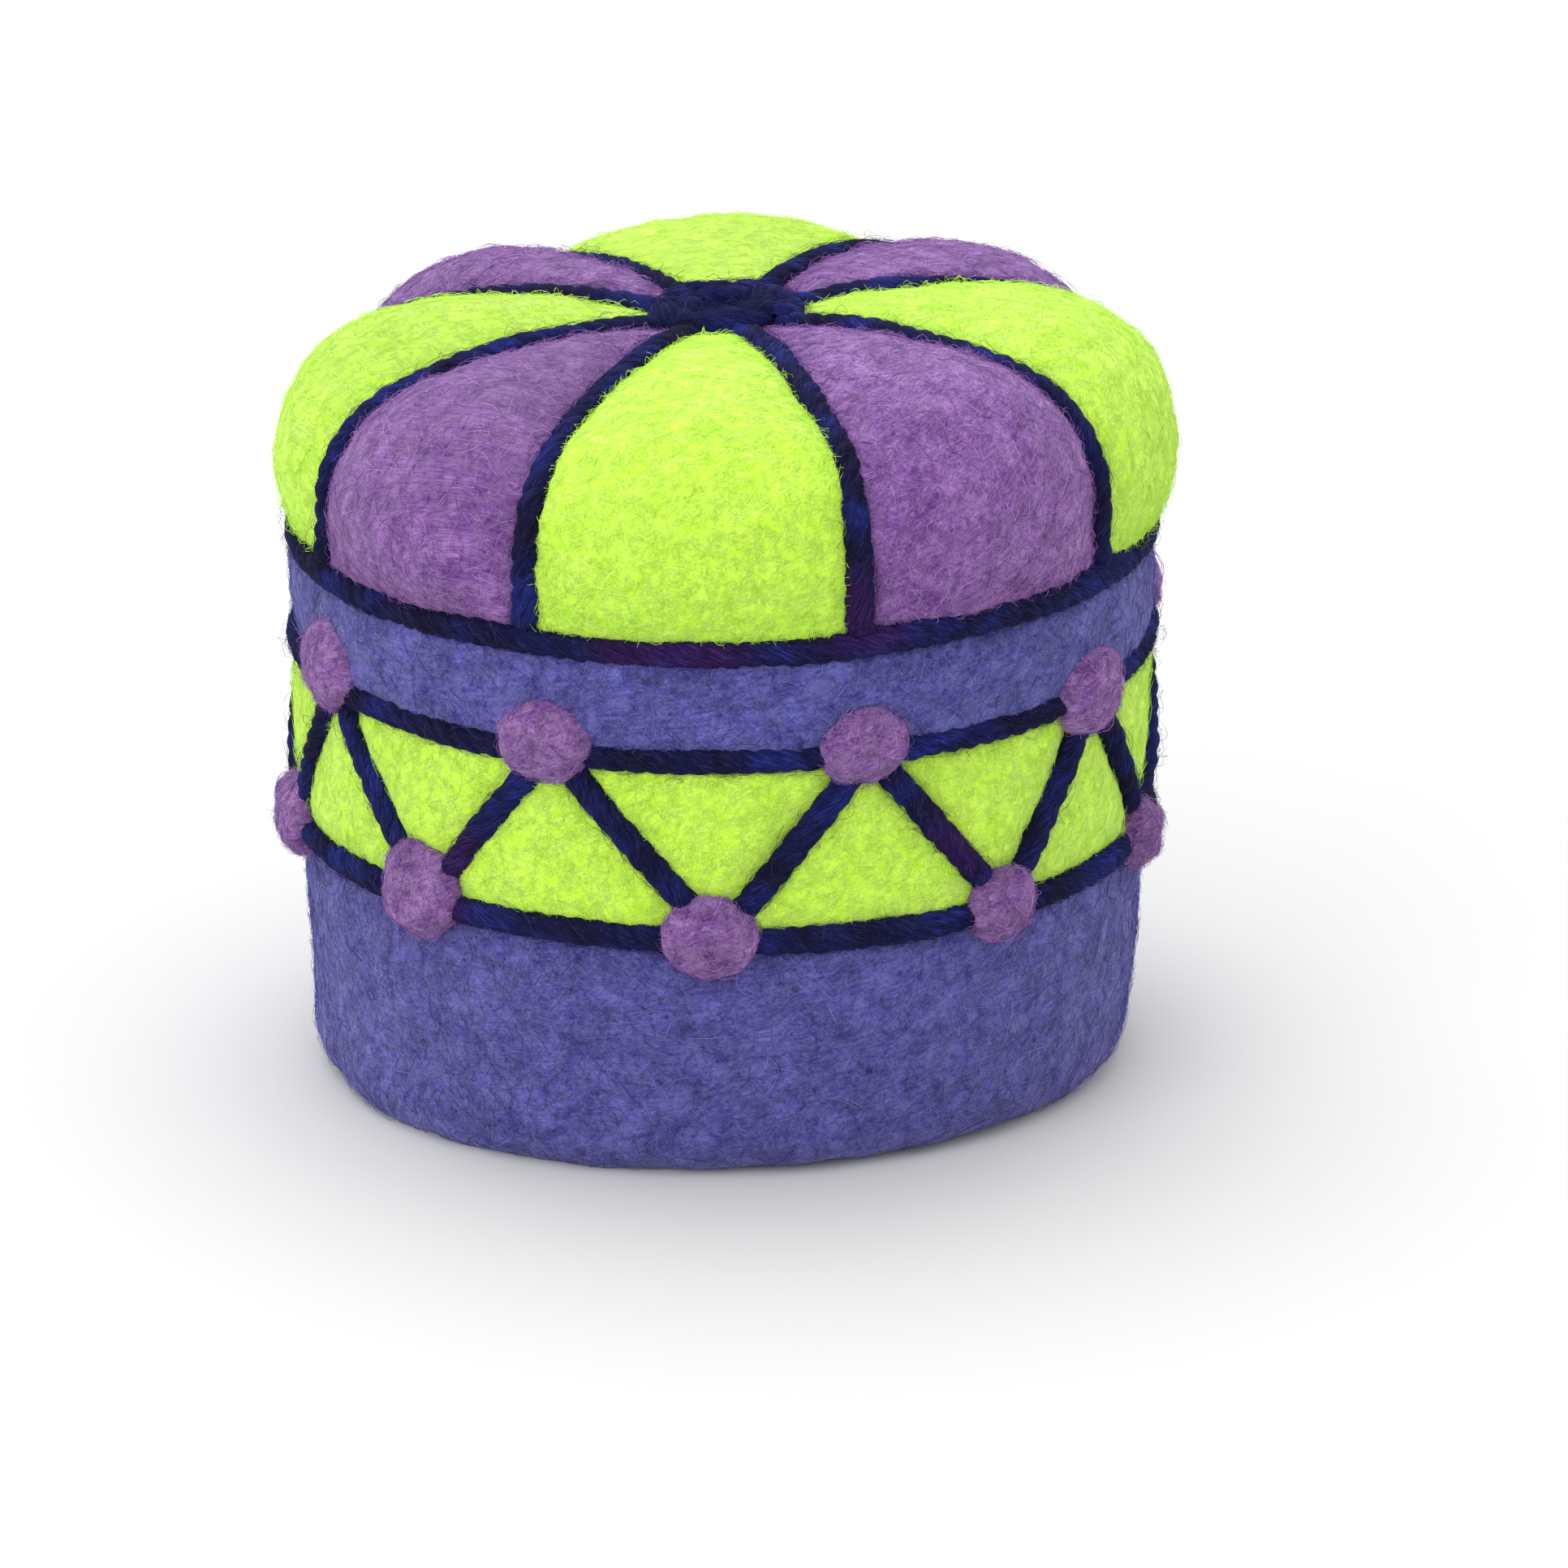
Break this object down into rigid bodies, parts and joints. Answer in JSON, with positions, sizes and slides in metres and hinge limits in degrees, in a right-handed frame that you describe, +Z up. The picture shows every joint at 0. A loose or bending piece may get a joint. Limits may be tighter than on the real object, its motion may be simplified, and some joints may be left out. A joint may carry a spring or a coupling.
{
  "type": "pin cushion",
  "caption": "Needle-felted wool pin cushion: a banded drum with a puffed petal dome, yarn seams, a zigzag yarn and felted balls.",
  "frame": {"origin": "centre of the flat underside, on the surface that it stands on", "axes": "+Z up along the drum's axis, -Y towards the front lime petal, +X to the right"},
  "size_m": [0.0892, 0.0892, 0.0781],
  "materials": {
    "lime_wool": "matte",
    "purple_wool": "matte",
    "blue_wool": "matte",
    "navy_yarn": "matte",
    "core_wool": "matte"
  },
  "bodies": {
    "root": {"wool_core": "core_wool", "base_cup": "blue_wool", "middle_band": "lime_wool", "upper_band": "blue_wool", "dome_ring_cord": "navy_yarn", "upper_ring_cord": "navy_yarn", "lower_ring_cord": "navy_yarn", "top_rosette": "navy_yarn", "lime_petal_1": "lime_wool", "lime_petal_2": "lime_wool", "lime_petal_3": "lime_wool", "lime_petal_4": "lime_wool", "purple_petal_1": "purple_wool", "purple_petal_2": "purple_wool", "purple_petal_3": "purple_wool", "purple_petal_4": "purple_wool", "seam_cord_1": "navy_yarn", "seam_cord_2": "navy_yarn", "seam_cord_3": "navy_yarn", "seam_cord_4": "navy_yarn", "seam_cord_5": "navy_yarn", "seam_cord_6": "navy_yarn", "seam_cord_7": "navy_yarn", "seam_cord_8": "navy_yarn", "zigzag_cord_1": "navy_yarn", "zigzag_cord_2": "navy_yarn", "zigzag_cord_3": "navy_yarn", "zigzag_cord_4": "navy_yarn", "zigzag_cord_5": "navy_yarn", "zigzag_cord_6": "navy_yarn", "zigzag_cord_7": "navy_yarn", "zigzag_cord_8": "navy_yarn", "zigzag_cord_9": "navy_yarn", "zigzag_cord_10": "navy_yarn", "zigzag_cord_11": "navy_yarn", "zigzag_cord_12": "navy_yarn", "zigzag_cord_13": "navy_yarn", "zigzag_cord_14": "navy_yarn", "zigzag_cord_15": "navy_yarn", "zigzag_cord_16": "navy_yarn", "upper_ball_1": "purple_wool", "upper_ball_2": "purple_wool", "upper_ball_3": "purple_wool", "upper_ball_4": "purple_wool", "upper_ball_5": "purple_wool", "upper_ball_6": "purple_wool", "upper_ball_7": "purple_wool", "upper_ball_8": "purple_wool", "lower_ball_1": "purple_wool", "lower_ball_2": "purple_wool", "lower_ball_3": "purple_wool", "lower_ball_4": "purple_wool", "lower_ball_5": "purple_wool", "lower_ball_6": "purple_wool", "lower_ball_7": "purple_wool", "lower_ball_8": "purple_wool"}
  },
  "joints": []
}
